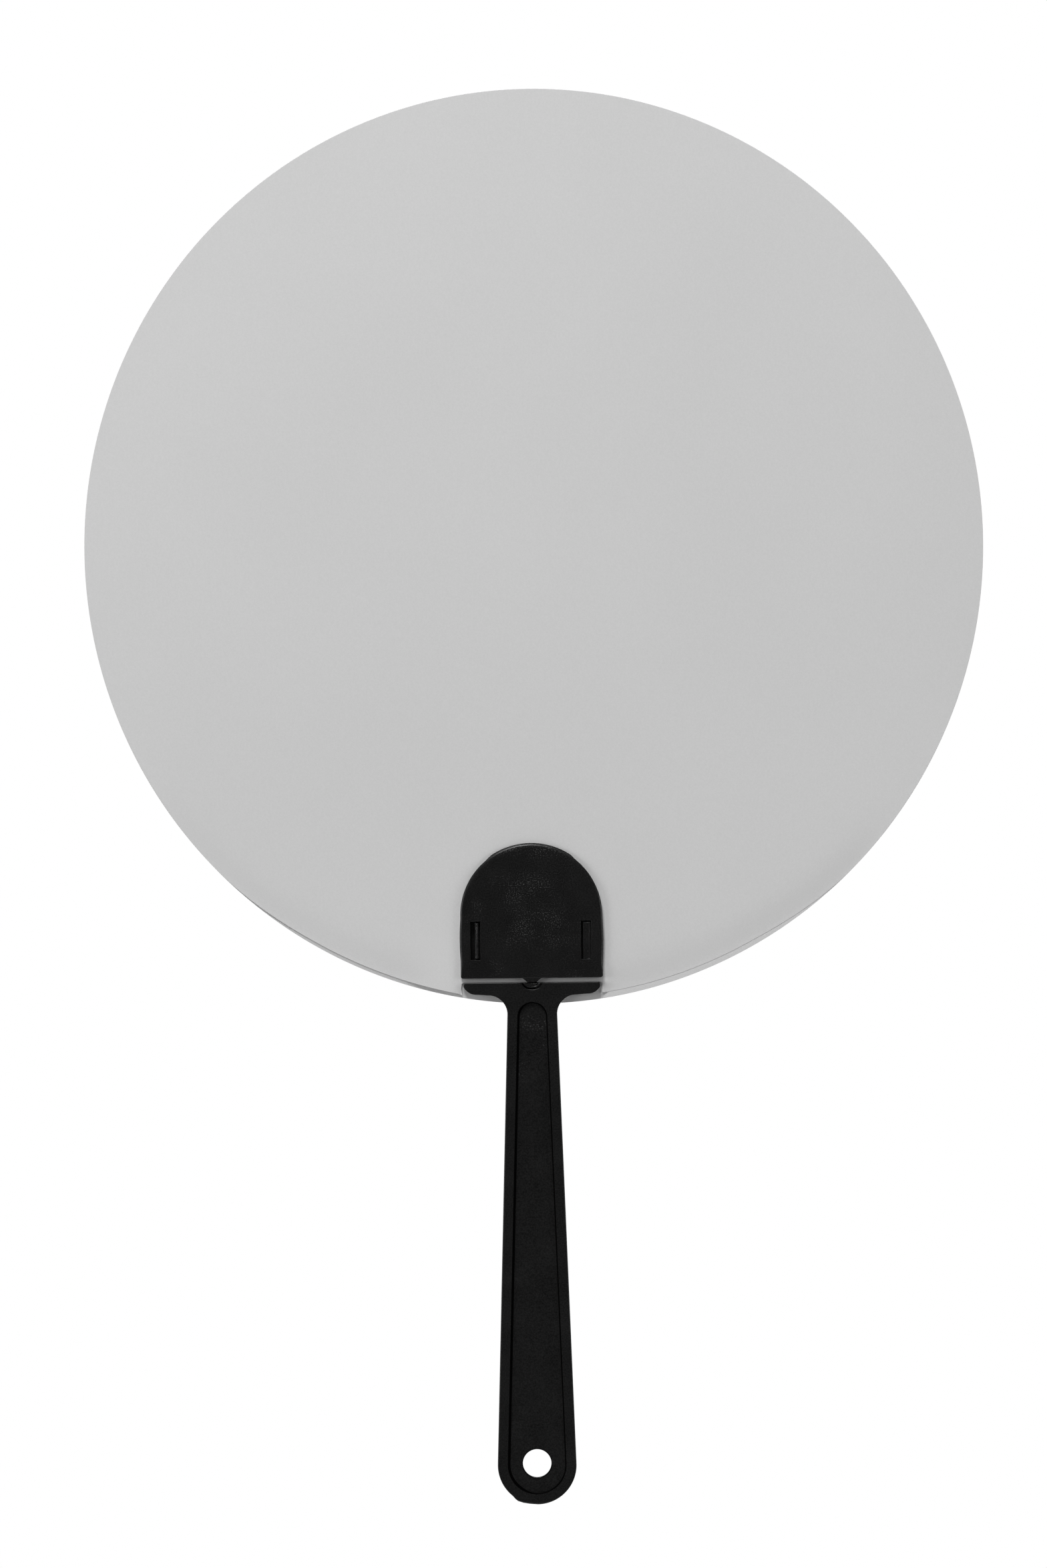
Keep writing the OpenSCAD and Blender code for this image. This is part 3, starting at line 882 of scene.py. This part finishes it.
turn = np.radians(np.linspace(-90, 270, 721)[:-1])
leaf = np.column_stack([leaf_x + leaf_a * np.cos(turn), leaf_z + leaf_b * np.sin(turn)])
low = (leaf[:, 1] < leaf_z) & (np.abs(leaf[:, 0]) < 90)
trimmed = leaf.copy()
trimmed[low, 1] = np.maximum(leaf[low, 1], foot_at(leaf[low, 0]))
half_notch = handle_high[0] + 0.4
notch_top = bar_top + 0.07
keep = ~((np.abs(trimmed[:, 0]) < half_notch + 1.5) & (trimmed[:, 1] < leaf_z))
kept = trimmed[keep]
kept = kept[np.argsort(np.mod(np.arctan2(kept[:, 1] - leaf_z, kept[:, 0]) + np.pi / 2, 2 * np.pi))]
left_notch = np.array([[-half_notch - 1.0, foot_at(-20.2)],
                       [-half_notch - 0.35, foot_at(-19.55) - 0.1],
                       [-half_notch + 0.12, foot_at(-19.1) - 0.28],
                       [-half_notch + 0.1, foot_at(-19.1) + 0.1],
                       [-half_notch - 0.1, notch_top - 1.6],
                       [-half_notch, notch_top - 0.6]])
right_notch = np.array([[half_notch, notch_top - 0.6],
                        [half_notch + 0.05, notch_top - 1.6],
                        [half_notch - 0.08, foot_at(19.2) + 0.5],
                        [half_notch - 0.05, foot_at(19.2) + 0.05],
                        [half_notch + 0.4, foot_at(19.6)],
                        [half_notch + 1.0, foot_at(20.2)]])
notch_r = 0.5
left_corner = arc(-half_notch + notch_r, notch_top - notch_r, notch_r, 175, 90, 6)
right_corner = arc(half_notch - notch_r, notch_top - notch_r, notch_r, 90, 5, 6)
front_leaf = outline(left_notch, left_corner, right_corner, right_notch, kept)
print("leaf in mm:", round(2 * leaf_a, 2), "wide and", round(2 * leaf_b, 2), "high")
print("outline points:", len(leaf), len(front_leaf))

# %% Sheets


def gape(x, z):
    """How far the sheets part beside the opening's left edge: 1 there, fading to 0 along the
    foot 37 mm from the middle and up the sheet as a bell curve."""
    up = np.maximum(z - foot_at(x), 0)
    return smooth(19.3, 21, -x) * smooth(37, 22, -x) * np.exp(-(up / 12) ** 2)


def curl(x, z):
    """How far the back sheet's foot curls back, in millimetres: a quarter of the height by
    which a point is below a line 1.3 mm over the outline, left of the handle."""
    below = np.maximum(1.3 - np.maximum(z - leaf_foot(x), 0), 0)
    return below / 4 * smooth(14, 22, -x) * smooth(95, 60, -x)


def close(x, z):
    """1 where the front sheet's foot is pressed thin: along the right and the far left."""
    up = np.maximum(z - foot_at(x), 0)
    along = smooth(19.4, 21, x) + smooth(23, 35, -x)
    return along * smooth(105, 85, np.abs(x)) * np.exp(-(up / 5) ** 2)


def sheet(name, outer, foot, y_front, y_back, bend, pressed, materials):
    """A thin plate of the outline with two slots. Its front and back follow the same bend, and
    its front is pressed back by up to the given millimetres. Its edges are turned over very
    slightly, and only the cut beside the crossbar shows the pale core. Rows of spots along the
    foot carry the bend."""
    def at(y, share):
        return lambda x, z: y + bend(x, z) + pressed * share * close(x, z)

    shell = Shell()
    x, z = outer.T
    opening = (np.abs(x) < half_notch + 1.1) & (z > leaf_foot(19) + 0.4) & (z < 130)
    turned = 0.05
    edge_rows = [(2 * turned, at(y_front, 1)), (turned, at(y_front, 1)),
                 (0.0, at(y_front + turned, 0.9)), (0.0, at(y_back - turned, 0)),
                 (turned, at(y_back, 0))]
    last = len(edge_rows) - 1
    strip = rim(outer, edge_rows)
    shell.add(strip, np.tile(np.where(opening, 1, 0), last))
    fronts, backs = [row(strip[0], 0, len(outer))], [row(strip[0], last, len(outer))]
    for cx in slots:
        loop = slot_loop(cx, 1.6, 5.7, 0.3)
        hole = rim(loop, [(0, at(y_front, 1)), (0, at(y_back, 0))], hole=True)
        shell.add(hole, 1)
        fronts.append(row(hole[0], 0, len(loop)))
        backs.append(row(hole[0], 1, len(loop)))
    x = np.concatenate([np.arange(-96, -20.5, 1.5), np.arange(21, 96, 1.5)])
    rows = np.concatenate([np.column_stack([x, foot(x) + up]) for up in (0.5, 0.9, 1.3, 1.9)])

    # Close spots low down, where the sheets bend, and wide ones above
    for loops, y, share, back in ((fronts, y_front, 1, False), (backs, y_back, 0, True)):
        close_by = lattice(loops, 2.4, 120, 172)
        off_foot = close_by[:, 1] > foot(close_by[:, 0]) + 2.6
        close_by = close_by[off_foot | (np.abs(close_by[:, 0]) < 20)]
        spots = np.concatenate([close_by, lattice(loops, 7, 175, 380), rows])
        shell.add(face(loops, at(y, share), back=back, spots=spots), 0)
    return shell.piece(name, "fan", materials)


front_piece = sheet("front_leaf", front_leaf, foot_at, front_low[1], front_high[1],
                    lambda x, z: -0.5 * gape(x, z), 0.43, [sheet_grey, cut_edge])
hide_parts("front_sheet")
back_piece = sheet("back_leaf", leaf, leaf_foot, back_low[1], back_high[1], curl, 0.0,
                   [sheet_grey_back, cut_edge])
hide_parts("back_sheet")

# %% [markdown]
# ## The catches
#
# Each catch is a post that stands on the clip plate, goes through the sheets and ends in a
# barb just below the flap's face, inside its slot. The right one is smooth and fills its slot
# but for a gap at the left and the top. The left one is badly filled: its face is uneven,
# has a blob at the top and falls away on its right side. Noise would give it other lumps,
# so its depth is written as a sum of the forms that the photograph shows.

# %% Catches


def left_end(x, z):
    """Depth of the left catch's face: a groove along it, waves from a product of two sines, a
    blob at the top and a step down at the right."""
    off = x - slots[0]
    groove = 0.1 * np.exp(-((off - 0.25) / 0.14) ** 2)
    waves = 0.08 * np.sin(2.3 * z) * np.sin(3 * off + 1.7 * z)
    blob = -0.16 * np.exp(-((off - 0.4) ** 2 + (z - slot_z - 4.5) ** 2) / 0.2)
    return -2.2 + groove + waves + blob + 0.8 * smooth(0.8, 1.0, off)


def right_end(x, z):
    """Depth of the right catch's face: flat, with a low ridge along its right side."""
    return -2.32 - 0.06 * smooth(0.75, 0.9, x - slots[1])


def catch(name, cx, half_w, cz, half_l, end, material):
    """A post with a rectangular outline, rooted in the clip plate. Its barb is wider all round
    and reaches back to the sheets' front. Columns of spots carry the shape of its face."""
    barb, barb_back, root_y = 0.14, -1.25, 0.3
    loop = slot_loop(cx, half_w, half_l, 0.18, cz)
    rows = [(0.12, end), (0.04, lambda x, z: end(x, z) + 0.03),
            (0.0, lambda x, z: end(x, z) + 0.12), (0.0, barb_back),
            (barb, barb_back + 0.1), (barb, root_y)]
    strip = rim(loop, rows)
    front = row(strip[0], 0, len(loop))
    back = row(strip[0], len(rows) - 1, len(loop))
    in_w, in_l = half_w - 0.2, half_l - 0.2
    spots = grid(np.linspace(-in_w, in_w, 15), np.linspace(-in_l, in_l, 61)) + [cx, cz]
    shell = Shell()
    shell.add(strip, 0)
    shell.add(face([front], end, spots=spots), 0)
    shell.add(face([back], root_y, back=True), 0)
    return shell.piece(name, "fan", [material])


# Middle and half width across, middle and half length along, face and finish
left_catch = catch("left_catch", slots[0] + 0.58, 0.7, slot_z, 4.95, left_end, catch_black)
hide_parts("snap_hook_left")
right_catch = catch("right_catch", slots[1] + 0.26, 1.05, slot_z - 0.2, 5.05,
                    right_end, satin_black)
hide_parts("snap_hook_right")

# %% [markdown]
# ## Floor
#
# A pale disc stands for the studio floor. It lies below the photograph's frame, where it
# only sends light back up.

# %% Floor
floor_z, sides = -1.05, 96
radii = np.array([0.0001, 0.35, 0.7, 0.9])
turns = np.radians(np.linspace(0, 360, sides + 1)[:-1])
disc = np.stack([np.outer(radii, np.cos(turns)), np.outer(radii, np.sin(turns)),
                 np.full((len(radii), sides), floor_z)], 2).reshape(-1, 3)
k = np.arange(sides)
ring = np.arange(len(radii) - 1)[:, None] * sides
low = (ring + k).ravel()
ahead = (ring + (k + 1) % sides).ravel()
mesh = bpy.data.meshes.new("floor")
quads = np.column_stack([low, low + sides, ahead + sides, ahead])
mesh.from_pydata(disc.tolist(), [], quads.tolist())
floor_disc = bpy.data.objects.new("floor", mesh)
bpy.context.scene.collection.objects.link(floor_disc)
pale, _, pale_shader = blank_material("pale_floor")
pale_shader.inputs["Base Color"].default_value = (0.8, 0.8, 0.8, 1)
pale_shader.inputs["Roughness"].default_value = 0.8
mesh.materials.append(pale)
print("floor at", floor_z, "m")
